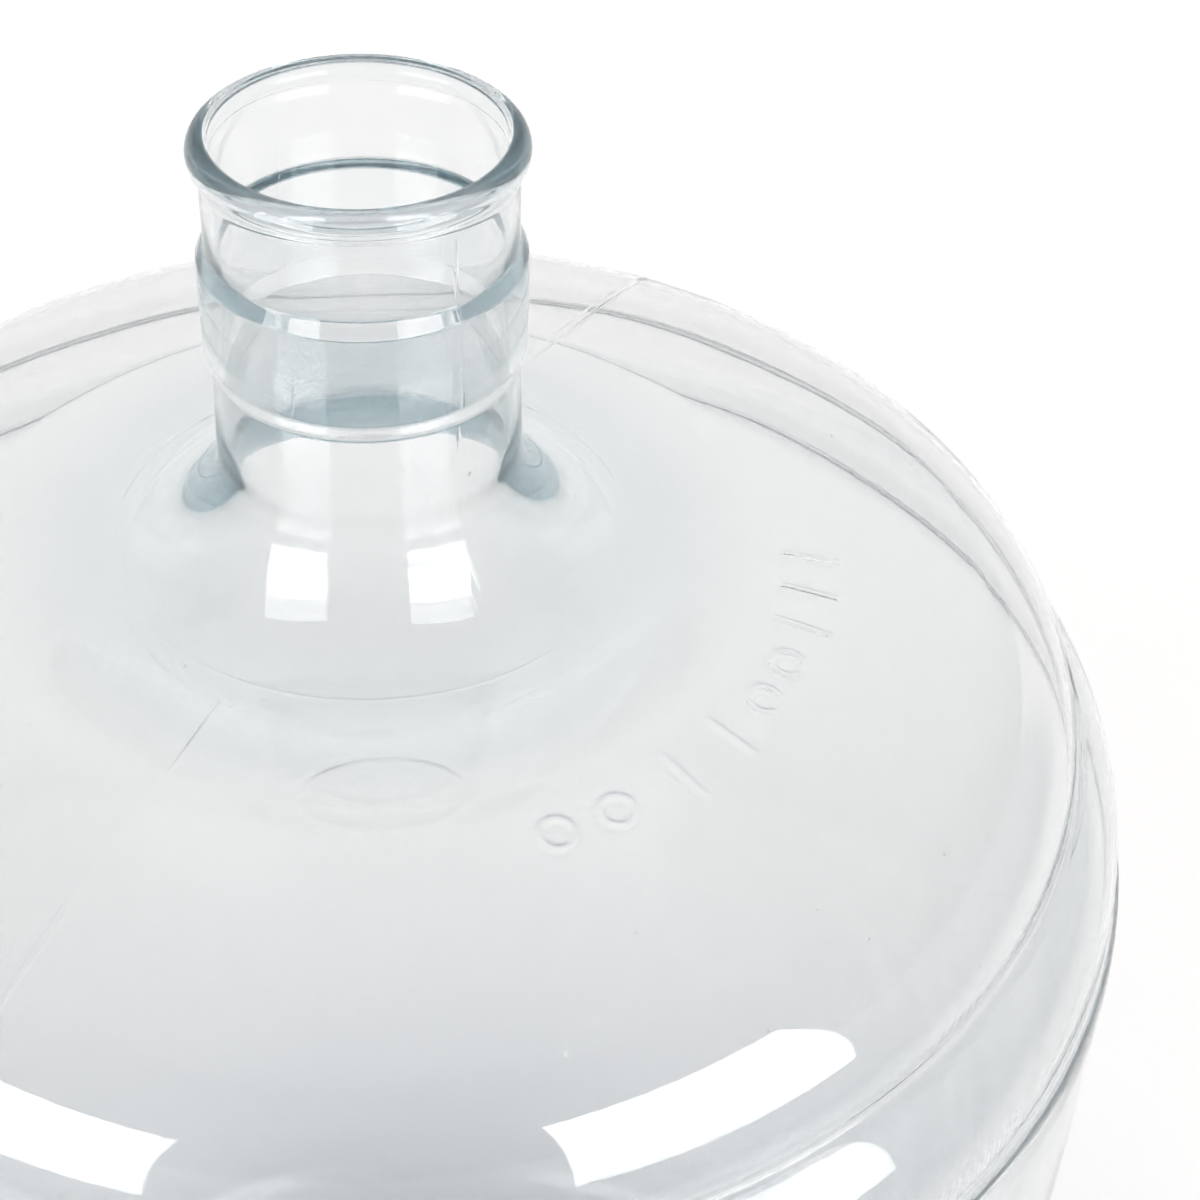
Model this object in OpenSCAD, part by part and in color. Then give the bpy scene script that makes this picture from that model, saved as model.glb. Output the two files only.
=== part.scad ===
// Clear 23 litre plastic carboy, stretch blown as one piece.
// Z is up and the bottle's axis, z = 0 is the floor that it stands on, and -Y is the front.
// Outlines are [radius, z] points, from the rim down. Angles round the axis run from the front to +X.

/* [Overall] */
// height from the floor to the rim
bottle_h = 470; // [440:1:520]
// outer radius of the straight wall
body_r = 144.4; // [140:0.2:156]
// thickness of the blown wall
wall = 1.1; // [0.8:0.1:1.5]

/* [Neck] */
// radius of the bore, for a No. 10 stopper
bore_r = 23.8; // [23:0.1:24.2]
// outer radius of the rounded rim
rim_r = 27.5; // [27:0.1:28.5]
// radius of the rim's rounded section
rim_round = 2.75; // [2.5:0.05:3]
// height of the rounded rim, down to the upper neck
rim_h = 6.6; // [6.2:0.1:8]
// outer radius of the upper neck
neck_r = 25.8; // [25.4:0.1:26]
// height of the upper neck, rim included
upper_neck_h = 19.3; // [16:0.1:24]
// outer radius of the support collar
collar_r = 27.3; // [27:0.1:29]
// height of the collar's straight side
collar_h = 16.7; // [12:0.1:20]
// height of the bevel above the collar
collar_bevel = 2.5; // [1.5:0.1:4]
// height of the undercut below the collar
collar_undercut = 3.3; // [2:0.1:4]
// outer radius of the lower neck, under the collar
lower_neck_r = 26; // [25.6:0.1:26.4]
// outer radius of the lower neck, where it begins to flare
flare_start_r = 26.5; // [26.4:0.1:27]
// height of the lower neck, down to the flare
lower_neck_h = 17.4; // [14:0.1:24]
// thickness of the neck, where it begins to flare
neck_wall = 2.2; // [1.8:0.1:2.4]

/* [Shoulder] */
// radius of the flare between neck and shoulder
flare_round = 21.3; // [18:0.1:24]
// thickness of the wall at the flare's foot, where the blowing leaves it thick
flare_wall = 5.4; // [4.5:0.1:6.2]
// radius at which the shoulder has thinned to the blown wall
thin_r = 74; // [68:1:84]
// slope of the shoulder at the flare, in degrees
slope_in = 5.3; // [4:0.1:8]
// slope of the shoulder where it rounds over, in degrees
slope_out = 14.9; // [12:0.1:18]
// radius of the shoulder's rounded edge
edge_round = 24.6; // [20:0.1:28]
// slope at the lip of the first groove, in degrees
edge_end = 86.5; // [80:0.5:88]

/* [Grooves] */
// how far the band stands out from the lip above it
band_step = 11.3; // [10.5:0.1:13]
// how far the wall stands out from the band
wall_step = 2.1; // [1.5:0.1:3]
// radius of the band's rounded section
band_round = 28.5; // [26:0.5:32]
// height of the straight part under the band's rounding
band_side = 2.2; // [1:0.1:4]
// height of each groove, from its lip to the ledge below
groove_h = 2.1; // [1.6:0.1:2.6]
// how far each groove's ledge stands out from its lip
groove_ledge = 2; // [1.5:0.1:2.4]
// height of the rounding from the second ledge to the wall
wall_ease = 8; // [5:0.5:12]

/* [Base] */
// radius of the rounded heel
heel_round = 24; // [18:1:30]
// width of the flat ring that it stands on
foot_w = 6; // [4:0.5:10]
// radius of the rounding inside the foot
foot_round = 8; // [6:0.5:12]
// slope of the raised middle at its edge, in degrees
push_slope = 8; // [5:1:14]

/* [Moulded marks] */
// how far the marks stand out
relief = 0.4; // [0.3:0.05:0.6]
// width of the plain oval on the front
oval_w = 29; // [20:1:34]
// length of the plain oval down the slope
oval_l = 16.2; // [12:0.2:18]
// radius at which the oval is centred
oval_at = 65.5; // [62:0.5:72]
// width of the oval's raised line
oval_line = 1.4; // [1:0.1:2]
// radius at which the row of plain marks is centred
row_at = 79; // [76:0.5:84]
// length of a bar in the row
bar_l = 11; // [8:0.5:14]
// width of the lines in the row
line_w = 1.5; // [1:0.1:2]
// outer radius of a ring in the row
ring_r = 3.6; // [3:0.1:4.5]
// angles of the bars
bar_angles = [38, 47, 70, 77, 84];
// angles of the rings
ring_angles = [20, 28, 55, 62.5];
// angle of the mould's parting plane
seam_angle = -31; // [-45:1:-25]
// greatest width of the parting line on the shoulder
seam_w = 1.6; // [1:0.1:2.4]
// height of the parting line over the surface
seam_relief = 0.2; // [0.15:0.05:0.3]
// number of small ribs in each ribbed patch
rib_count = 18; // [8:1:22]
// angle between two ribs
rib_pitch = 1.15; // [1:0.05:1.2]
// angle of the rib nearest the side
rib_angle = 47; // [40:1:55]
// radius of a rib's section
rib_r = 0.9; // [0.8:0.05:1.1]
// height of the ribbed patch above the first groove
edge_rib_h = 3.2; // [2:0.1:6]
// height of the ribbed patch above the second groove
band_rib_h = 8; // [5:0.5:12]

/* [Hidden] */
$fn = 96;
band_r = body_r - wall_step;
lip_r = band_r - band_step;
collar_top = bottle_h - upper_neck_h;
collar_foot = collar_top - collar_bevel - collar_h;
lower_neck_top = collar_foot - collar_undercut;
flare_z = lower_neck_top - lower_neck_h;
flare_lean = atan((flare_start_r - lower_neck_r) / lower_neck_h);
flare_axis_r = flare_start_r + flare_round * cos(flare_lean);
flare_axis_z = flare_z + flare_round * sin(flare_lean);
crown_in_r = flare_axis_r - flare_round * sin(slope_in);
crown_in_z = flare_axis_z - flare_round * cos(slope_in);
edge_axis_r = lip_r - edge_round * sin(edge_end);
crown_out_r = edge_axis_r + edge_round * sin(slope_out);
crown_round = (crown_out_r - crown_in_r) / (sin(slope_out) - sin(slope_in));
crown_axis_r = crown_in_r - crown_round * sin(slope_in);
crown_axis_z = crown_in_z - crown_round * cos(slope_in);
edge_axis_z = crown_axis_z + (crown_round - edge_round) * cos(slope_out);
lip_z = edge_axis_z + edge_round * cos(edge_end);
band_top_z = lip_z - groove_h;
band_lean = acos(1 - (band_step - groove_ledge) / band_round);
band_axis_z = band_top_z - band_round * sin(band_lean);
band_foot_z = band_axis_z - band_side;
wall_top_z = band_foot_z - groove_h;
wall_in_r = body_r - wall_step + groove_ledge / 2;
foot_out_r = body_r - heel_round;
foot_in_r = foot_out_r - foot_w;
push_round = foot_in_r / sin(push_slope) - foot_round;
push_axis_z = foot_round - (foot_round + push_round) * cos(push_slope);
seam_l = crown_out_r + edge_round / 2 - crown_in_r;
// a groove's inner corner, as shares of its ledge's width and of its height
corner_out = 0.25;
corner_down = 0.7;
// drop of a groove's lip on the inside, as a share of the wall
lip_drop = 0.4;
// where the rim's rounding turns into the neck, in degrees from the top
rim_turn = 148;
mouth_chamfer = 0.4;
// the line left by the neck's insert: its section's radius and how deep that lies
insert_line_r = 0.45;
insert_line_sink = 0.2;
// width of the parting line at its ends, as a share of its middle
seam_taper = 0.25;
// how deep the raised marks reach into the wall
skin = 0.5;

// n + 1 points on a round, at angles a to b from straight up over its axis
function over(axis_r, axis_z, r, a, b, n) =
    [for (i = [0:n]) let (s = a + (b - a) * i / n) [axis_r + r * sin(s), axis_z + r * cos(s)]];

// the flare, hollow from outside, inset by t0 at its top and t1 at its foot
function flare(t0, t1, n = 14) =
    [for (i = [0:n])
        let (s = 90 - flare_lean + (slope_in - 90 + flare_lean) * i / n)
        let (r = flare_round + t0 + (t1 - t0) * i / n)
        [flare_axis_r - r * sin(s), flare_axis_z - r * cos(s)]];

// the shoulder's gentle crown and its rounded edge, inset by t
function crown(t) = over(crown_axis_r, crown_axis_z, crown_round - t, slope_in, slope_out, 10);
function edge(t) = over(edge_axis_r, edge_axis_z, edge_round - t, slope_out, edge_end, 18);

// the crown's inside: thick at the flare, thinning smoothly out to thin_r
function crown_inside(n = 20) =
    [for (i = [0:n])
        let (s = slope_in + (slope_out - slope_in) * i / n)
        let (u = max(0, (thin_r - crown_axis_r - crown_round * sin(s)) / (thin_r - crown_in_r)))
        let (r = crown_round - wall - (flare_wall - wall) * u * u * (3 - 2 * u))
        [crown_axis_r + r * sin(s), crown_axis_z + r * cos(s)]];

// a groove from the lip (r, z): straight down into the corner, then out along the ledge
function groove(r, z) = [[r + groove_ledge * corner_out, z - groove_h * corner_down]];

// everything under the shoulder's edge, inset by t, down to the middle of the base
function lower_body(t) = concat(
    groove(lip_r - t, lip_z - t * lip_drop),
    over(band_r - band_round, band_axis_z, band_round - t, 90 - band_lean, 90, 10),
    [[band_r - t, band_foot_z]],
    groove(band_r - t, band_foot_z - t * lip_drop),
    [for (i = [0:4]) let (u = i / 4)
        [wall_in_r - t + (body_r - wall_in_r) * sin(90 * u), wall_top_z - wall_ease * (1 - cos(90 * u))]],
    over(foot_out_r, heel_round, heel_round - t, 90, 180, 12),
    over(foot_in_r, foot_round, foot_round - t, 180, 180 + push_slope, 4),
    over(0, push_axis_z, push_round + t, push_slope * 7 / 8, 0, 7));

// the neck's outside, from the rim's flat lip down to the flare
function neck_outside() = concat(
    over(rim_r - rim_round, bottle_h - rim_round, rim_round, 0, rim_turn, 12),
    [[neck_r, bottle_h - rim_h], [neck_r, collar_top],
     [collar_r, collar_top - collar_bevel], [collar_r, collar_foot], [lower_neck_r, lower_neck_top]]);

// the neck's inside, from the rim's edge down to the flare
function neck_inside() =
    [[bore_r + mouth_chamfer, bottle_h], [bore_r, bottle_h - mouth_chamfer], [bore_r, lower_neck_top]];

// height and slope of the crown's surface at radius r
function crown_slope(r) = asin((r - crown_axis_r) / crown_round);
function crown_z(r) = crown_axis_z + crown_round * cos(crown_slope(r));

// radius of a round's surface at height z
function round_r(axis_r, axis_z, r, z) = axis_r + sqrt(pow(r, 2) - pow(z - axis_z, 2));

module shell() {
    outside = concat(neck_outside(), flare(0, 0), crown(0), edge(0), lower_body(0));
    inside = concat(neck_inside(), flare(neck_wall, flare_wall), crown_inside(), edge(wall), lower_body(wall));
    rotate_extrude() polygon(concat(outside, [for (i = [len(inside) - 1:-1:0]) inside[i]]));
}

// places a mark on the crown, at an angle round the axis and a radius, tilted to the slope
module on_crown(angle, r) {
    rotate(angle) translate([0, -r, crown_z(r)]) rotate([crown_slope(r), 0, 0])
        translate([0, 0, -skin]) children();
}

module plain_oval() {
    function ellipse(a, b, n = 48) = [for (i = [0:n - 1]) [a * cos(i * 360 / n), b * sin(i * 360 / n)]];
    on_crown(0, oval_at) linear_extrude(skin + relief) difference() {
        polygon(ellipse(oval_w / 2, oval_l / 2));
        polygon(ellipse(oval_w / 2 - oval_line, oval_l / 2 - oval_line));
    }
}

module mark_row() {
    for (a = bar_angles)
        on_crown(a, row_at) translate([-line_w / 2, -bar_l / 2, 0]) cube([line_w, bar_l, skin + relief]);
    for (a = ring_angles)
        on_crown(a, row_at) difference() {
            cylinder(r = ring_r, h = skin + relief);
            translate([0, 0, -1]) cylinder(r = ring_r - line_w, h = skin + relief + 2);
        }
}

// the fine raised line where the neck insert meets the blow mould
module insert_line() {
    rotate_extrude() translate([crown_in_r, crown_in_z - insert_line_sink]) circle(insert_line_r);
}

// the parting line: a slender ridge down the shoulder, widest half-way
module seam(angle) {
    function side(u) = seam_w / 2 * (seam_taper + (1 - seam_taper) * sin(180 * u));
    strip = concat(crown(-seam_relief), edge(-seam_relief));
    under = concat(crown(skin), edge(skin));
    rotate(angle) intersection() {
        rotate_extrude() polygon(concat(strip, [for (i = [len(under) - 1:-1:0]) under[i]]));
        translate([0, 0, lip_z]) linear_extrude(bottle_h) polygon(concat(
            [for (i = [0:8]) [-side(i / 8), -crown_in_r - seam_l * i / 8]],
            [for (i = [8:-1:0]) [side(i / 8), -crown_in_r - seam_l * i / 8]]));
    }
}

// a patch of small upright ribs, each a rod from [r, z] at its top to its foot, sunk in the wall
module ribs(top, foot) {
    lean = atan((foot[0] - top[0]) / (top[1] - foot[1]));
    sunk = rib_r - relief;
    for (i = [0:rib_count - 1])
        rotate(rib_angle - i * rib_pitch) translate([0, -(foot[0] - sunk), foot[1]]) rotate([-lean, 0, 0])
            cylinder(r = rib_r, h = norm(top - foot), $fn = 24);
}

module ribbed_patches() {
    edge_z = lip_z + edge_rib_h;
    band_z = band_foot_z + band_rib_h;
    ribs([round_r(edge_axis_r, edge_axis_z, edge_round, edge_z), edge_z], [lip_r, lip_z]);
    ribs([round_r(band_r - band_round, band_axis_z, band_round, band_z), band_z], [band_r, band_foot_z]);
}

module carboy() {
    color([0.86, 0.9, 0.92, 0.35]) union() {
        shell();
        insert_line();
        seam(seam_angle);
        seam(seam_angle + 180);
        plain_oval();
        mark_row();
        ribbed_patches();
    }
}

carboy();
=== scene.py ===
"""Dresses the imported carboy: one clear blown PET bottle on a pale studio floor, seen as in the photograph."""
import math

import bpy
import numpy as np
from mathutils import Matrix, Vector


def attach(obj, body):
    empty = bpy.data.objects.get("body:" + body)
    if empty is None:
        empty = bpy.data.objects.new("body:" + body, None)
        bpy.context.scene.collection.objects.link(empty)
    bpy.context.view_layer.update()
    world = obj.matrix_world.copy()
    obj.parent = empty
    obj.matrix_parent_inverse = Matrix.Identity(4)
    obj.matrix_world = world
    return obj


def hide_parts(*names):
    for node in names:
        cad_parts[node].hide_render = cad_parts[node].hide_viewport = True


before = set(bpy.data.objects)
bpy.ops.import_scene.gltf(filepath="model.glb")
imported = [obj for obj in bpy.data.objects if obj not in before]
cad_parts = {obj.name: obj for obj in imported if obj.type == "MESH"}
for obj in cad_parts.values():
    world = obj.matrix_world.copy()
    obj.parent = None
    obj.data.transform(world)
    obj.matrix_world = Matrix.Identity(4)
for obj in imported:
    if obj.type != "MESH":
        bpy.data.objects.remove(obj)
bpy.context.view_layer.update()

# ---------------------------------------------------------------- the bottle's sizes, in millimetres

HEIGHT = 470.0
BODY_R, WALL = 144.4, 1.1
BORE_R, MOUTH_CHAMFER = 23.8, 0.4
RIM_R, RIM_ROUND, RIM_H, RIM_TURN = 27.5, 2.75, 6.6, 148
NECK_R, UPPER_NECK_H = 25.8, 19.3
COLLAR_R, COLLAR_H, COLLAR_BEVEL, COLLAR_UNDERCUT = 27.3, 16.7, 2.5, 3.3
LOWER_NECK_R, FLARE_START_R, LOWER_NECK_H, NECK_WALL = 26.0, 26.5, 17.4, 2.2
FLARE_ROUND, SLOPE_IN, SLOPE_OUT = 21.3, 5.3, 14.9
FLARE_WALL, THIN_R = 5.4, 74.0
EDGE_ROUND, EDGE_END = 24.6, 86.5
BAND_STEP, WALL_STEP, BAND_ROUND, BAND_SIDE = 11.3, 2.1, 28.5, 2.2
GROOVE_H, GROOVE_LEDGE, WALL_EASE = 2.1, 2.0, 8.0
CORNER_OUT, CORNER_DOWN, LIP_DROP = 0.25, 0.7, 0.4
HEEL_ROUND, FOOT_W, FOOT_ROUND, PUSH_SLOPE = 24.0, 6.0, 8.0, 8.0
OVAL_RELIEF, BAR_RELIEF, RING_RELIEF, MARK_SKIRT = 0.09, 0.36, 0.45, 0.45
OVAL_W, OVAL_L, OVAL_AT, OVAL_LINE = 29.0, 16.2, 65.5, 1.4
ROW_AT, BAR_L, LINE_W, RING_R = 79.0, 11.0, 1.5, 3.6
BAR_ANGLES = (38, 47, 70, 77, 84)
RING_ANGLES = (20, 28, 55, 62.5)
SEAM_ANGLE, SEAM_W, SEAM_RELIEF, SEAM_TAPER, SEAM_SKIRT, SEAM_ENDS = -31.0, 1.6, 0.1, 0.25, 0.25, 18
INSERT_RELIEF, INSERT_REACH = 0.13, 0.5
RIB_COUNT, RIB_PITCH, RIB_ANGLE, RIB_RELIEF = 18, 1.15, 47.0, 0.05
EDGE_RIB_H, BAND_RIB_H, RIB_FOOT_EASE, RIB_TOP_EASE, RIB_STEEP = 3.2, 8.0, 1.2, 2.0, 2.08
NECK_SEAM_ANGLE, NECK_SEAM_RELIEF, NECK_SEAM_HALF, NECK_SEAM_SKIRT = 33.5, 0.045, 0.45, 0.4
# where the marks lie, in millimetres from the axis or radians round it, and where the mesh has finer points
NECK_MARKS_R, RIBS_R, BEHIND, FAR_OFF = 46.0, 120.0, 1.5, 999.0
OVAL_ROWS, OVAL_ARC = (56.5, 74.5), (-13.6, 13.7, 0.32)
ROW_ROWS, ROW_ARC = (72.0, 86.6), (15.5, 88.0, 0.33)
# the blown wall's slow waves: height, count round the axis, length down the wall over 2 pi, share of phase
WAVES = ((0.045, 3, 31.0, 1.0), (0.03, 7, -17.0, 2.1), (0.016, 12, 9.5, 4.0), (0.02, 5, 12.5, -1.0))
WAVES_FROM_R, WAVES_FULL_R, WAVES_UNDER_LIP, INNER_WAVES = 34.0, 64.0, 150.0, 1.25
OUTER_PHASE, INNER_PHASE = 0.6, 0.9
# the mesh: millimetres between rows, degrees between columns, and the least angle between two of them
OUTER_ROWS, INNER_ROWS, COLUMN_STEP, LEAST_STEP = 9.0, 14.0, 3.0, 0.03
ON_AXIS, NO_ZERO = 1e-3, 1e-6


def sin(degrees):
    return math.sin(math.radians(degrees))


def cos(degrees):
    return math.cos(math.radians(degrees))


band_r = BODY_R - WALL_STEP
lip_r = band_r - BAND_STEP
collar_top = HEIGHT - UPPER_NECK_H
collar_foot = collar_top - COLLAR_BEVEL - COLLAR_H
lower_neck_top = collar_foot - COLLAR_UNDERCUT
flare_z = lower_neck_top - LOWER_NECK_H
flare_lean = math.degrees(math.atan((FLARE_START_R - LOWER_NECK_R) / LOWER_NECK_H))
flare_axis_r = FLARE_START_R + FLARE_ROUND * cos(flare_lean)
flare_axis_z = flare_z + FLARE_ROUND * sin(flare_lean)
crown_in_r = flare_axis_r - FLARE_ROUND * sin(SLOPE_IN)
crown_in_z = flare_axis_z - FLARE_ROUND * cos(SLOPE_IN)
edge_axis_r = lip_r - EDGE_ROUND * sin(EDGE_END)
crown_out_r = edge_axis_r + EDGE_ROUND * sin(SLOPE_OUT)
crown_round = (crown_out_r - crown_in_r) / (sin(SLOPE_OUT) - sin(SLOPE_IN))
crown_axis_r = crown_in_r - crown_round * sin(SLOPE_IN)
crown_axis_z = crown_in_z - crown_round * cos(SLOPE_IN)
edge_axis_z = crown_axis_z + (crown_round - EDGE_ROUND) * cos(SLOPE_OUT)
lip_z = edge_axis_z + EDGE_ROUND * cos(EDGE_END)
band_top_z = lip_z - GROOVE_H
band_lean = math.degrees(math.acos(1 - (BAND_STEP - GROOVE_LEDGE) / BAND_ROUND))
band_axis_z = band_top_z - BAND_ROUND * sin(band_lean)
band_foot_z = band_axis_z - BAND_SIDE
wall_top_z = band_foot_z - GROOVE_H
wall_in_r = band_r + GROOVE_LEDGE / 2
foot_out_r = BODY_R - HEEL_ROUND
foot_in_r = foot_out_r - FOOT_W
push_round = foot_in_r / sin(PUSH_SLOPE) - FOOT_ROUND
push_axis_z = FOOT_ROUND - (FOOT_ROUND + push_round) * cos(PUSH_SLOPE)
seam_l = crown_out_r + EDGE_ROUND / 2 - crown_in_r

# ---------------------------------------------------------------- outlines


def over(axis_r, axis_z, radius, a, b, step):
    """Points on a round from angle a to angle b, from straight up over its axis, about step mm apart."""
    n = max(3, math.ceil(abs(math.radians(b - a)) * radius / step))
    s = np.radians(np.linspace(a, b, n + 1))
    return np.stack([axis_r + radius * np.sin(s), axis_z + radius * np.cos(s)], 1)


def line(*points):
    """A straight run through the points."""
    return np.array(points, float)


def trimmed(run, length):
    """The run without its first length mm."""
    for i in range(len(run) - 1):
        d = math.dist(run[i], run[i + 1])
        if d > length:
            return np.vstack([run[i] + (run[i + 1] - run[i]) * length / d, run[i + 1:]])
        length -= d
    return run[-1:]


def join(runs, softness):
    """One outline from runs that meet end to end, each corner eased over its own softness in mm."""
    path = runs[0]
    for run, soft in zip(runs[1:], softness):
        if soft == 0:
            path = np.vstack([path, run[1:]])
            continue
        corner = run[0]
        head = trimmed(path[::-1], soft)[::-1]
        tail = trimmed(run, soft)
        u = np.linspace(0, 1, 7)[1:-1, None]
        bend = head[-1] * (1 - u) ** 2 + corner * 2 * u * (1 - u) + tail[0] * u ** 2
        path = np.vstack([head, bend, tail])
    return path


def flare(t0, t1, n):
    """The flare from the neck down to the shoulder, inset by t0 at the top and t1 at the foot."""
    s = np.radians(np.linspace(90 - flare_lean, SLOPE_IN, n + 1))
    r = np.linspace(FLARE_ROUND + t0, FLARE_ROUND + t1, n + 1)
    return np.stack([flare_axis_r - r * np.sin(s), flare_axis_z - r * np.cos(s)], 1)


def crown(t, radii):
    """The shoulder's crown at these outer radii, inset by t, one number or one for each radius."""
    s = np.arcsin((radii - crown_axis_r) / crown_round)
    r = crown_round - t
    return np.stack([crown_axis_r + r * np.sin(s), crown_axis_z + r * np.cos(s)], 1)


def body_runs(t, fine):
    """Everything from the flare's foot down to the middle of the base, inset by t, as runs and softness."""
    corner_1, corner_2 = ((r - t + GROOVE_LEDGE * CORNER_OUT, z - t * LIP_DROP - GROOVE_H * CORNER_DOWN)
                          for r, z in ((lip_r, lip_z), (band_r, band_foot_z)))
    if fine:
        # closest where the oval and the row of bars and rings stand
        radii = np.concatenate([
            crown_in_r + np.linspace(0, 2 * INSERT_REACH, 11), np.arange(47.0, 56.8, 1.6),
            np.arange(57.0, 87.0, 0.42), np.arange(88.0, crown_out_r - 1, 2.2), [crown_out_r]])
    else:
        radii = np.linspace(crown_in_r, crown_out_r, 26)
    band = over(band_r - BAND_ROUND, band_axis_z, BAND_ROUND - t, 90 - band_lean, 90, 0.9 if fine else 1.6)
    edge = over(edge_axis_r, edge_axis_z, EDGE_ROUND - t, SLOPE_OUT, EDGE_END, 0.9 if fine else 1.3)
    u = np.radians(np.linspace(0, 90, 7))
    out, drop = (BODY_R - wall_in_r) * np.sin(u), WALL_EASE * (1 - np.cos(u))
    ease = np.stack([wall_in_r - t + out, wall_top_z - drop], 1)
    side = np.stack([np.full(22, BODY_R - t), np.linspace(wall_top_z - WALL_EASE, HEEL_ROUND, 22)], 1)
    heel = over(foot_out_r, HEEL_ROUND, HEEL_ROUND - t, 90, 180, 2.2)
    foot = over(foot_in_r, FOOT_ROUND, FOOT_ROUND - t, 180, 180 + PUSH_SLOPE, 0.9)
    push = over(0, push_axis_z, push_round + t, PUSH_SLOPE, 0, 6.5)
    runs = [crown(t, radii), edge, line(edge[-1], corner_1), line(corner_1, band[0]), band,
            line(band[-1], (band_r - t, band_foot_z)), line((band_r - t, band_foot_z), corner_2),
            line(corner_2, ease[0]), ease, side, heel, line(heel[-1], foot[0]), foot, push]
    soft = [0, 0.5, 0.45, 0.6, 0, 0.5, 0.45, 0.6, 0, 0, 0, 0, 0]
    return runs, soft


def outside():
    bead = over(RIM_R - RIM_ROUND, HEIGHT - RIM_ROUND, RIM_ROUND, 0, RIM_TURN, 0.32)
    marks = [(NECK_R, HEIGHT - RIM_H), (NECK_R, collar_top), (COLLAR_R, collar_top - COLLAR_BEVEL),
             (COLLAR_R, collar_foot), (LOWER_NECK_R, lower_neck_top)]
    lower = flare(0, 0, 30)
    runs = [bead, line(bead[-1], marks[0])] + [line(a, b) for a, b in zip(marks, marks[1:])]
    runs += [line(marks[-1], lower[0]), lower]
    more, soft = body_runs(0, True)
    return join(runs + more, [0.3, 0.8, 0.7, 0.5, 0.5, 0.8, 0, 0] + soft)


def inside():
    lower = flare(NECK_WALL, FLARE_WALL, 30)
    top = line((BORE_R + MOUTH_CHAMFER, HEIGHT), (BORE_R, HEIGHT - MOUTH_CHAMFER))
    runs = [top, line(top[1], (BORE_R, lower_neck_top)), line((BORE_R, lower_neck_top), lower[0]), lower]
    more, soft = body_runs(WALL, False)
    radii = np.linspace(crown_in_r, crown_out_r, 40)
    more[0] = crown(WALL + (FLARE_WALL - WALL) * smooth((THIN_R - radii) / (THIN_R - crown_in_r)), radii)
    return join(runs + more, [0.2, 3, 0, 0] + [max(s, 0.7) if s else 0 for s in soft])


def spaced(path, longest):
    """The outline with its long straight parts divided."""
    out = [path[:1]]
    for a, b in zip(path, path[1:]):
        n = max(1, math.ceil(math.dist(a, b) / longest))
        if math.dist(a, b) > NO_ZERO:
            out.append(a + (b - a) * np.linspace(0, 1, n + 1)[1:, None])
    return np.vstack(out)


# ---------------------------------------------------------------- moulded marks: height over the wall, in mm


def smooth(t):
    """A soft step: 0 up to t = 0, 1 from t = 1 on."""
    t = np.clip(t, 0, 1)
    return t * t * (3 - 2 * t)


def around(az, angle):
    """Angle from a mark, in radians, wrapped to half a turn each way."""
    return np.radians((az - angle + 180) % 360 - 180)


def beside(r, az, angle):
    """Millimetres across from the half plane at an angle, far off for all that lies behind the axis."""
    a = around(az, angle)
    return np.where(np.abs(a) < BEHIND, r * np.sin(a), FAR_OFF)


def on_crown(r, az, angle, at):
    """A place on the crown as millimetres across and down the slope from a mark's middle."""
    slope = np.arcsin(np.clip((r - crown_axis_r) / crown_round, -1, 1))
    return beside(r, az, angle), (r * np.cos(around(az, angle)) - at) / np.cos(slope)


def crown_marks(r, z, az):
    """All that stands out on the shoulder: parting lines, the insert's ring, the oval, and bars and rings."""
    h = np.zeros_like(r)
    top = (z > lip_z) & (r > crown_in_r - 2)
    # two parting lines, each a slender flat ridge
    u = (r - crown_in_r) / seam_l
    half = SEAM_W / 2 * (SEAM_TAPER + (1 - SEAM_TAPER) * np.sin(math.pi * np.clip(u, 0, 1)))
    ends = smooth(u * SEAM_ENDS) * smooth((1 - u) * SEAM_ENDS)
    for angle in (SEAM_ANGLE, SEAM_ANGLE + 180):
        x = np.abs(beside(r, az, angle))
        h = np.maximum(h, top * ends * SEAM_RELIEF * smooth((half + SEAM_SKIRT - x) / (2 * SEAM_SKIRT)))
    # the ring left by the neck's insert
    d = np.abs((r - crown_in_r) / INSERT_REACH - 1)
    h = np.maximum(h, (z > lip_z) * INSERT_RELIEF * smooth(1 - d))
    # the plain oval on the front
    x, y = on_crown(r, az, 0, OVAL_AT)
    reach = np.hypot(x, y)
    out = np.hypot(x / (OVAL_W / 2), y / (OVAL_L / 2)) + NO_ZERO
    into = np.hypot(x / (OVAL_W / 2 - OVAL_LINE), y / (OVAL_L / 2 - OVAL_LINE)) + NO_ZERO
    t = np.minimum(reach * (1 / out - 1), reach * (1 - 1 / into))
    h = np.maximum(h, top * OVAL_RELIEF * smooth((t + MARK_SKIRT) / (OVAL_LINE / 2 + MARK_SKIRT)))
    # the row of plain bars and rings
    for angle in BAR_ANGLES:
        x, y = on_crown(r, az, angle, ROW_AT)
        t = np.minimum(LINE_W / 2 - np.abs(x), BAR_L / 2 - np.abs(y))
        h = np.maximum(h, top * BAR_RELIEF * smooth((t + MARK_SKIRT) / (LINE_W / 2 + MARK_SKIRT)))
    for angle in RING_ANGLES:
        x, y = on_crown(r, az, angle, ROW_AT)
        reach = np.hypot(x, y)
        t = np.minimum(RING_R - reach, reach - (RING_R - LINE_W))
        h = np.maximum(h, top * RING_RELIEF * smooth((t + MARK_SKIRT) / (LINE_W / 2 + MARK_SKIRT)))
    return np.maximum(h, 0)


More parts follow.
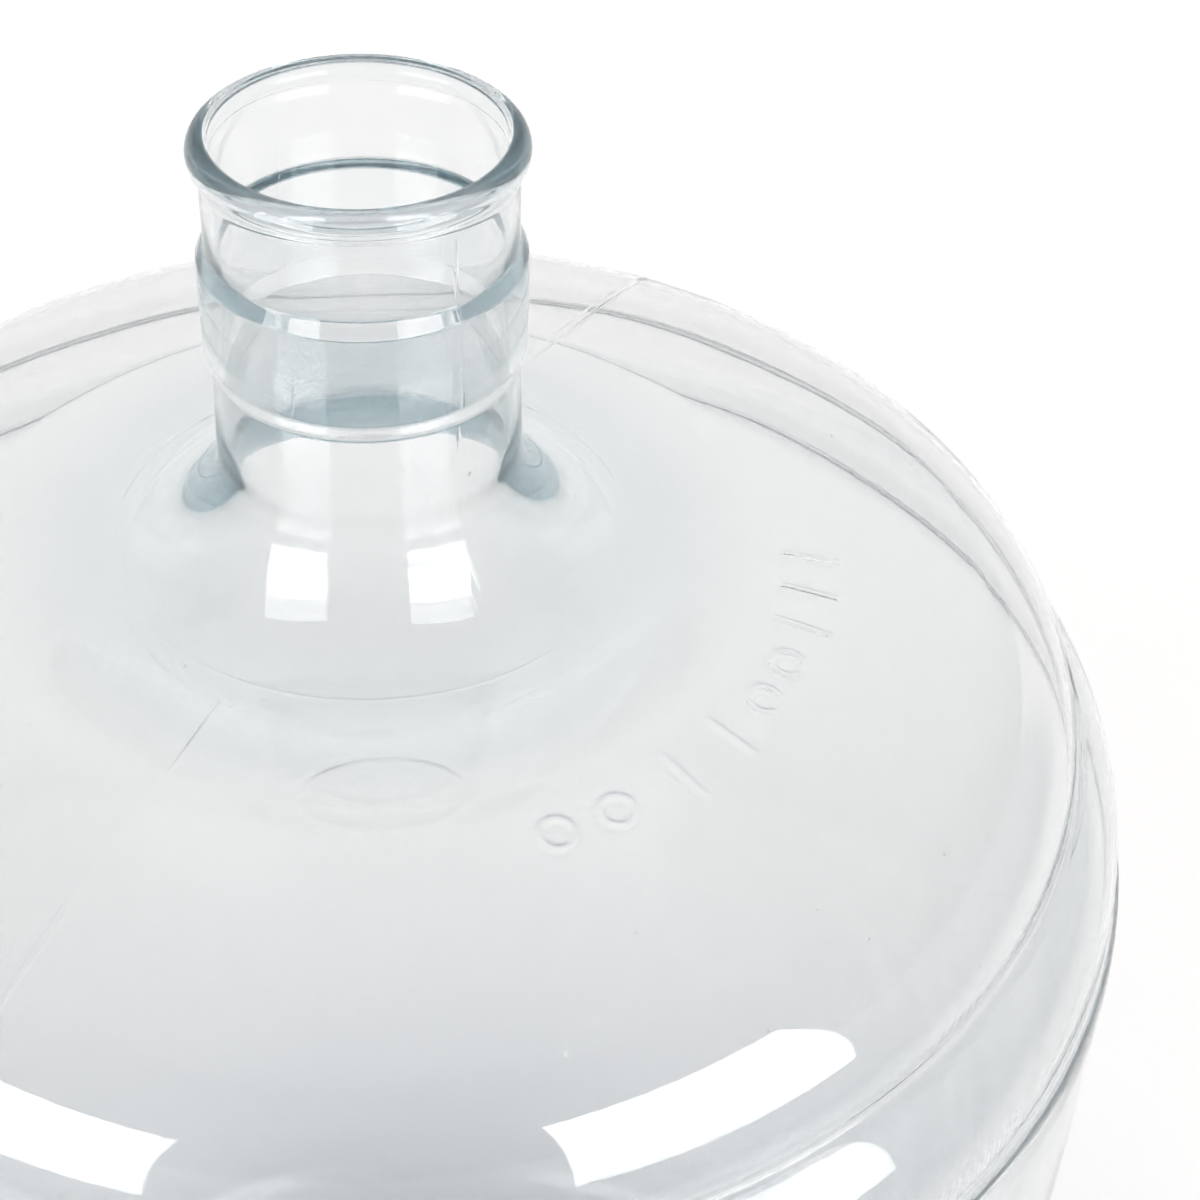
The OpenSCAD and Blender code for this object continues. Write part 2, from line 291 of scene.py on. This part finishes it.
def rib_marks(r, z, az):
    """The two patches of small upright ribs, one over each groove."""
    place = (RIB_ANGLE - az + 180) % 360 - 180
    k = np.clip(np.round(place / RIB_PITCH), 0, RIB_COUNT - 1)
    # each rib falls away over half a pitch on either side
    rod = RIB_RELIEF * smooth(RIB_STEEP * (0.5 - np.abs(place / RIB_PITCH - k)))
    h = np.zeros_like(r)
    for foot, tall in ((lip_z, EDGE_RIB_H), (band_foot_z, BAND_RIB_H)):
        h += rod * smooth((z - foot) / RIB_FOOT_EASE) * smooth((foot + tall - z) / RIB_TOP_EASE)
    return h * (r > RIBS_R)


def neck_marks(r, z, az):
    """Two fine parting lines down the neck, from under the rim to the flare's foot."""
    h = np.zeros_like(r)
    span = smooth(HEIGHT - RIM_H - z) * smooth((z - crown_in_z - 2) / 4) * (r < NECK_MARKS_R)
    for angle in (NECK_SEAM_ANGLE, NECK_SEAM_ANGLE + 180):
        x = np.abs(beside(r, az, angle))
        h = np.maximum(h, span * NECK_SEAM_RELIEF * smooth((NECK_SEAM_HALF - x) / NECK_SEAM_SKIRT))
    return h


def ripple(r, z, az, phase):
    """The slow waviness of a blown wall, none at the neck."""
    body = smooth((r - WAVES_FROM_R) / (WAVES_FULL_R - WAVES_FROM_R))
    # down the wall, counted by the radius on the shoulder and by the drop under it
    down = np.where(z > lip_z, r, WAVES_UNDER_LIP + lip_z - z)
    waves = (height * np.sin(turns * np.radians(az) + down / length + share * phase)
             for height, turns, length, share in WAVES)
    return sum(waves) * body


def outer_height(r, z, az):
    marks = crown_marks(r, z, az) + rib_marks(r, z, az) + neck_marks(r, z, az)
    return marks + ripple(r, z, az, OUTER_PHASE)


def inner_height(r, z, az):
    return -ripple(r, z, az, INNER_PHASE) * INNER_WAVES


# ---------------------------------------------------------------- the bottle's mesh


def columns(r, z, outer):
    """Angles of one row's points: even all round, finer where a mark crosses it."""
    sets = [np.arange(0, 360, COLUMN_STEP)]
    step = np.array([0, 0.08, 0.16, 0.24, 0.32, 0.42, 0.54, 0.68, 0.85, 1.05, 1.3, 1.6])
    if outer and z > lip_z + 2 and r > crown_in_r - 1:
        for angle in (SEAM_ANGLE, SEAM_ANGLE + 180):
            sets += [angle + step, angle - step]
        for (near, far), arc in ((OVAL_ROWS, OVAL_ARC), (ROW_ROWS, ROW_ARC)):
            if near < r < far:
                sets.append(np.arange(*arc))
    if outer and r < NECK_MARKS_R and z > crown_in_z:
        for angle in (NECK_SEAM_ANGLE, NECK_SEAM_ANGLE + 180):
            sets += [angle + step[1::2] * 0.9, angle - step[1::2] * 0.9, [angle]]
    at_ribs = -0.5 < z - lip_z < EDGE_RIB_H + 1 or -0.5 < z - band_foot_z < BAND_RIB_H + 1
    if outer and r > RIBS_R and at_ribs:
        sets.append(np.arange(RIB_ANGLE - RIB_COUNT * RIB_PITCH, RIB_ANGLE + RIB_PITCH, RIB_PITCH / 8))
    a = np.unique(np.round(np.concatenate(sets) % 360, 4))
    return a[np.concatenate([[True], np.diff(a) > LEAST_STEP])]


def path_normals(path):
    """Each point's direction off the outline, on the right of the way it runs."""
    d = np.diff(path, axis=0)
    length = np.hypot(d[:, 0], d[:, 1])
    n = np.stack([d[:, 1], -d[:, 0]], 1) / length[:, None]
    # each corner's normal leans to its shorter side, so that long flats stay flat
    w = 1 / length
    both = n[:-1] * w[:-1, None] + n[1:] * w[1:, None]
    n = np.vstack([n[:1], both, n[-1:]])
    return n / np.hypot(n[:, 0], n[:, 1])[:, None]


def lathe(name, paths):
    """A closed round solid from its outlines, each with its height function and whether it is the outer one.

    They run from the outer middle of the base, up and over the rim, to the inner middle."""
    co, normals, faces = [], [], []
    rows = []
    for path, height, outer in paths:
        flat = path_normals(path)
        for (r, z), (nr, nz) in zip(path, flat):
            if r < ON_AXIS:
                rows.append(("pole", len(co), None))
                co.append(np.array([[0, 0, z]]))
                normals.append(np.array([[0, 0, np.sign(nz)]]))
                continue
            az = columns(r, z, outer)
            rr, zz = np.full(len(az), r), np.full(len(az), z)
            # a step along the outline and round the axis gives the slope of the marks
            e = 0.05
            tr, tz = -nz * e, nr * e
            h = height(rr, zz, az)
            along = (height(rr + tr, zz + tz, az) - height(rr - tr, zz - tz, az)) / (2 * e)
            turn = math.degrees(e / max(r, 1.0))
            across = (height(rr, zz, az + turn) - height(rr, zz, az - turn)) / (2 * e)
            a = np.radians(az)
            ray = np.stack([np.sin(a), -np.cos(a)], 1)
            side = np.stack([np.cos(a), np.sin(a)], 1)
            p = np.concatenate([ray * (rr + h * nr)[:, None], (zz + h * nz)[:, None]], 1)
            n_r, n_z = nr - along * (-nz), nz - along * nr
            n = np.concatenate([ray * n_r[:, None] - side * across[:, None], n_z[:, None]], 1)
            rows.append(("ring", len(co), az))
            co.append(p)
            normals.append(n / np.linalg.norm(n, axis=1)[:, None])
    start = np.cumsum([0] + [len(c) for c in co])
    for (kind_a, i, az_a), (kind_b, j, az_b) in zip(rows, rows[1:]):
        s, t = start[i], start[j]
        if kind_a == "pole":
            m = len(az_b)
            faces += [(s, t + (k + 1) % m, t + k) for k in range(m)]
        elif kind_b == "pole":
            m = len(az_a)
            faces += [(s + k, s + (k + 1) % m, t) for k in range(m)]
        elif len(az_a) == len(az_b) and np.allclose(az_a, az_b):
            m = len(az_a)
            faces += [(s + k, s + (k + 1) % m, t + (k + 1) % m, t + k) for k in range(m)]
        else:
            faces += zipped(az_a, az_b, s, t)
    mesh = bpy.data.meshes.new(name)
    mesh.from_pydata((np.vstack(co) / 1000).tolist(), [], faces)
    mesh.validate()
    mesh.shade_smooth()
    mesh.normals_split_custom_set_from_vertices(np.vstack(normals).tolist())
    mesh.update()
    piece = bpy.data.objects.new(name, mesh)
    bpy.context.collection.objects.link(piece)
    return piece


def zipped(az_a, az_b, s, t):
    """Triangles between two rings whose points stand at different angles."""
    out, i, j = [], 0, 0
    n, m = len(az_a), len(az_b)
    while i < n or j < m:
        next_a = az_a[i + 1] if i + 1 < n else az_a[0] + 360 if i < n else math.inf
        next_b = az_b[j + 1] if j + 1 < m else az_b[0] + 360 if j < m else math.inf
        if next_a <= next_b:
            out.append((s + i % n, s + (i + 1) % n, t + j % m))
            i += 1
        else:
            out.append((s + i % n, t + (j + 1) % m, t + j % m))
            j += 1
    return out


outer_path = spaced(outside(), OUTER_ROWS)
inner_path = spaced(inside(), INNER_ROWS)
bottle = lathe("clear_bottle", [(outer_path[::-1], outer_height, True), (inner_path, inner_height, False)])

# ---------------------------------------------------------------- shading


class Value:
    """A shader socket that Python's operators work on, each operator adding its Math node."""

    def __init__(self, shade, socket):
        self.shade, self.socket = shade, socket

    def maths(self, operation, *terms):
        made = self.shade.node("ShaderNodeMath", {"operation": operation}, *terms)
        return Value(self.shade, made.outputs[0])

    def __add__(self, other):
        return self.maths("ADD", self, other)

    def __sub__(self, other):
        return self.maths("SUBTRACT", self, other)

    def __mul__(self, other):
        return self.maths("MULTIPLY", self, other)

    def __lt__(self, other):
        return self.maths("LESS_THAN", self, other)

    def __abs__(self):
        return self.maths("ABSOLUTE", self)


class Shade:
    """A node tree: node() adds any node from its type, its settings and its sockets' values or links."""

    def __init__(self, tree):
        self.tree = tree
        tree.nodes.clear()

    def node(self, kind, settings=None, *terms, **sockets):
        made = self.tree.nodes.new(kind)
        for key, value in (settings or {}).items():
            if key == "stops":
                ramp = made.color_ramp.elements
                while len(ramp) > 1:
                    ramp.remove(ramp[-1])
                for n, (at, colour) in enumerate(value):
                    stop = ramp[0] if n == 0 else ramp.new(at)
                    stop.position, stop.color = at, colour
            else:
                setattr(made, key, value)
        for n, term in enumerate(terms):
            self.put(made.inputs[n], term)
        for key, term in sockets.items():
            self.put(made.inputs[key.replace("_", " ")], term)
        return made

    def put(self, socket, term):
        if isinstance(term, Value):
            self.tree.links.new(term.socket, socket)
        elif isinstance(term, bpy.types.NodeSocket):
            self.tree.links.new(term, socket)
        else:
            socket.default_value = term

    def value(self, kind, output, settings=None, **sockets):
        return Value(self, self.node(kind, settings, **sockets).outputs[output])


SKIN_SCALE = 48.0
DUST_SCALE, DUST_SIZE, DUST_COVER = 42.0, 0.019, 0.4
# metres up to which there is the most, metres from which there is none, and the most
BASE_HAZE, BASE_SCUFFS, LIP_SCUFFS = (0.01, 0.1, 0.2), (0.002, 0.03, 0.1), (0.002, 0.007, 0.09)


def clear_pet():
    """Water-clear blown PET, faintly cool where thick, with a moulded skin, scuffs, a worn base and dust."""
    material = bpy.data.materials.new("clear_blown_pet")
    material.use_nodes = True
    shade = Shade(material.node_tree)
    place = shade.node("ShaderNodeTexCoord").outputs["Object"]
    up = shade.value("ShaderNodeSeparateXYZ", "Z", {}, Vector=place)

    def fading(distance, near, far, most):
        """The most that there is up to the near distance, easing to none at the far one."""
        return shade.value("ShaderNodeMapRange", "Result", {"interpolation_type": "SMOOTHSTEP"},
                           Value=distance, From_Min=near, From_Max=far, To_Min=most, To_Max=0.0)

    skin = shade.value("ShaderNodeTexNoise", "Fac", {"noise_dimensions": "3D"},
                       Vector=place, Scale=SKIN_SCALE, Detail=0.0)
    bump = shade.node("ShaderNodeBump", {}, Strength=0.03, Distance=0.0006)
    shade.put(bump.inputs["Height"], skin)
    glass = shade.node("ShaderNodeBsdfPrincipled", {}, Base_Color=(0.96, 0.957, 0.956, 1),
                       Transmission_Weight=1.0, IOR=1.56, Alpha=0.97)
    shade.put(glass.inputs["Roughness"], fading(up, *BASE_HAZE))
    shade.put(glass.inputs["Normal"], bump.outputs["Normal"])
    scuffed = shade.node("ShaderNodeBsdfPrincipled", {}, Base_Color=(0.8, 0.82, 0.83, 1), Roughness=0.9)
    specks = shade.value("ShaderNodeTexVoronoi", "Distance", {"feature": "F1"},
                         Vector=place, Scale=DUST_SCALE)
    wear = (specks < DUST_SIZE) * DUST_COVER + fading(up, *BASE_SCUFFS)
    for lip in (lip_z, band_foot_z):
        wear += fading(abs(up - lip / 1000), *LIP_SCUFFS)
    surface = shade.node("ShaderNodeMixShader")
    for socket, term in zip(surface.inputs, (wear, glass.outputs[0], scuffed.outputs[0])):
        shade.put(socket, term)
    depth = shade.node("ShaderNodeVolumeAbsorption", {}, Color=(0.27, 0.49, 0.55, 1), Density=28.0)
    out = shade.node("ShaderNodeOutputMaterial")
    shade.put(out.inputs["Surface"], surface.outputs[0])
    shade.put(out.inputs["Volume"], depth.outputs[0])
    return material


bottle.data.materials.append(clear_pet())
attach(bottle, "root")
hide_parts("carboy")

# ---------------------------------------------------------------- studio

# the light falls off towards the front, and less steeply to the sides: in the room's light, and as painted
# shade in the floor's glow
SIDE_SHARE, LIT_TO, DARK_FROM, RAMP_REACH = 0.8, 0.4, 1.1, 3.0
FLOOR_R, TURN_R, WALL_H = 2.2, 0.8, 1.3


def floor_glow_painted_shade():
    # the floor glows by itself, though it is no lamp: its emission is painted light, with a painted shadow and
    # painted shade
    material = bpy.data.materials.new("floor_glow_painted_shade")
    material.cycles.emission_sampling = "NONE"
    material.use_nodes = True
    shade = Shade(material.node_tree)
    place = shade.node("ShaderNodeTexCoord").outputs["Object"]
    reach = shade.value("ShaderNodeVectorMath", "Value", {"operation": "LENGTH"}, Vector=place)
    # painted shadow round the bottle: the floor's glow is darkest and grey-blue at the axis, paling out to
    # about 0.9 m away
    near = shade.node("ShaderNodeValToRGB", {"stops": [
        (0.03, (0.57, 0.6, 0.63, 1)), (0.1, (0.78, 0.76, 0.75, 1)), (0.3, (0.88, 0.855, 0.84, 1))]})
    shade.put(near.inputs["Fac"], reach * (1 / RAMP_REACH))
    side, back = (shade.value("ShaderNodeSeparateXYZ", axis, {}, Vector=place) for axis in "XY")
    # painted shade: the floor's glow falls to dark grey-blue towards the front and the sides
    far = shade.value("ShaderNodeMapRange", "Result", {"interpolation_type": "SMOOTHSTEP"},
                      Value=abs(side) * SIDE_SHARE - back, From_Min=LIT_TO, From_Max=DARK_FROM,
                      To_Min=0.0, To_Max=1.0)
    lit = shade.node("ShaderNodeMix", {"data_type": "RGBA"})
    shade.put(lit.inputs["Factor"], far)
    shade.put(lit.inputs["A"], near.outputs["Color"])
    shade.put(lit.inputs["B"], (0.3, 0.35, 0.38, 1))
    shader = shade.node("ShaderNodeBsdfPrincipled", {}, Base_Color=(0.3, 0.3, 0.3, 1), Roughness=1.0)
    shade.put(shader.inputs["Specular IOR Level"], 0.0)
    # the floor glows by itself with this painted light and shade
    shade.put(shader.inputs["Emission Color"], lit.outputs["Result"])
    shade.put(shader.inputs["Emission Strength"], 1.0)
    out = shade.node("ShaderNodeOutputMaterial")
    shade.put(out.inputs["Surface"], shader.outputs[0])
    return material


def sweep():
    """A round pale floor that turns up into a low wall all round, glowing by itself with a painted shadow round
    the bottle and painted shade to the front and sides.
    """
    rings = [(0.0, 0.0), (0.6, 0.0), (1.4, 0.0), (FLOOR_R, 0.0)]
    rings += [(FLOOR_R + TURN_R * math.sin(a), TURN_R - TURN_R * math.cos(a))
              for a in np.radians(np.arange(10, 91, 10))]
    rings += [(FLOOR_R + TURN_R, WALL_H)]
    n = 96
    verts, faces = [(0, 0, 0)], []
    for r, z in rings[1:]:
        verts += [(r * math.sin(a), -r * math.cos(a), z) for a in 2 * math.pi * np.arange(n) / n]
    faces += [(0, 1 + k, 1 + (k + 1) % n) for k in range(n)]
    for i in range(len(rings) - 2):
        s = 1 + i * n
        faces += [(s + k, s + n + k, s + n + (k + 1) % n, s + (k + 1) % n) for k in range(n)]
    mesh = bpy.data.meshes.new("studio_floor")
    mesh.from_pydata(verts, [], faces)
    mesh.shade_smooth()
    floor = bpy.data.objects.new("studio_floor", mesh)
    bpy.context.collection.objects.link(floor)
    floor.data.materials.append(floor_glow_painted_shade())


def softbox(name, azimuth, distance, height, size, power):
    """An upright window of light, seen in the bottle and not by the camera."""
    light = bpy.data.lights.new(name, "AREA")
    light.shape, light.size, light.size_y = "RECTANGLE", size[0], size[1]
    light.energy = power
    lamp = bpy.data.objects.new(name, light)
    bpy.context.collection.objects.link(lamp)
    lamp.location = (distance * sin(azimuth), -distance * cos(azimuth), height)
    lamp.rotation_mode = "QUATERNION"
    lamp.rotation_quaternion = Vector((-lamp.location.x, -lamp.location.y, 0)).to_track_quat("-Z", "Y")
    lamp.visible_camera = False


sweep()
softbox("window_right", 40, 0.8, 0.66, (0.56, 0.72), 6)
softbox("window_left", -49, 0.8, 0.61, (0.55, 0.62), 5.2)

world = bpy.data.worlds.new("studio_room")
bpy.context.scene.world = world
world.use_nodes = True
room = Shade(world.node_tree)
way = room.node("ShaderNodeTexCoord").outputs["Generated"]
side, back = (room.value("ShaderNodeSeparateXYZ", axis, {}, Vector=way) for axis in "XY")
dome = room.node("ShaderNodeValToRGB", {"stops": [
    (0.35, (0.85, 0.88, 0.9, 1)), (0.6, (0.36, 0.4, 0.43, 1)), (1.0, (0.22, 0.26, 0.29, 1))]})
room.put(dome.inputs["Fac"], (abs(side) * SIDE_SHARE - back) * 0.5 + 0.5)
glow = room.node("ShaderNodeBackground", {}, Color=dome.outputs["Color"], Strength=1.0)
world.cycles.sampling_method = "NONE"
room.put(room.node("ShaderNodeOutputWorld").inputs["Surface"], glow.outputs[0])

# ---------------------------------------------------------------- camera, as fitted to the photograph

PITCH, YAW, ROLL, LENS_PX, FRAME_PX = 40.3287, 7.1649, 2.4849, 2339.787, 1200
# metres in front of the bottle's axis and over its rim
BEFORE, OVER = 0.330821, 0.183528
view = bpy.data.cameras.new("photo_view")
view.sensor_width = 36.0
view.lens = LENS_PX / FRAME_PX * view.sensor_width
view.clip_start = 0.01
camera = bpy.data.objects.new("photo_view", view)
bpy.context.collection.objects.link(camera)
ahead = Vector((sin(YAW) * cos(PITCH), cos(YAW) * cos(PITCH), -sin(PITCH)))
right = Vector((cos(YAW), -sin(YAW), 0))
up = right.cross(ahead)
cam_x = right * cos(ROLL) + up * sin(ROLL)
cam_y = up * cos(ROLL) - right * sin(ROLL)
turn = Matrix((cam_x, cam_y, -ahead)).transposed()
camera.matrix_world = Matrix.Translation((0, -BEFORE, HEIGHT / 1000 + OVER)) @ turn.to_4x4()
bpy.context.scene.camera = camera

scene = bpy.context.scene
scene.view_settings.view_transform = "Standard"
scene.cycles.use_adaptive_sampling = True
scene.cycles.adaptive_threshold = 0.1
scene.cycles.adaptive_min_samples = 8
# light that is caught inside the wall takes many turns before it leaves
scene.cycles.max_bounces = 24
scene.cycles.transmission_bounces = 16
scene.cycles.glossy_bounces = 24
scene.cycles.diffuse_bounces = 1
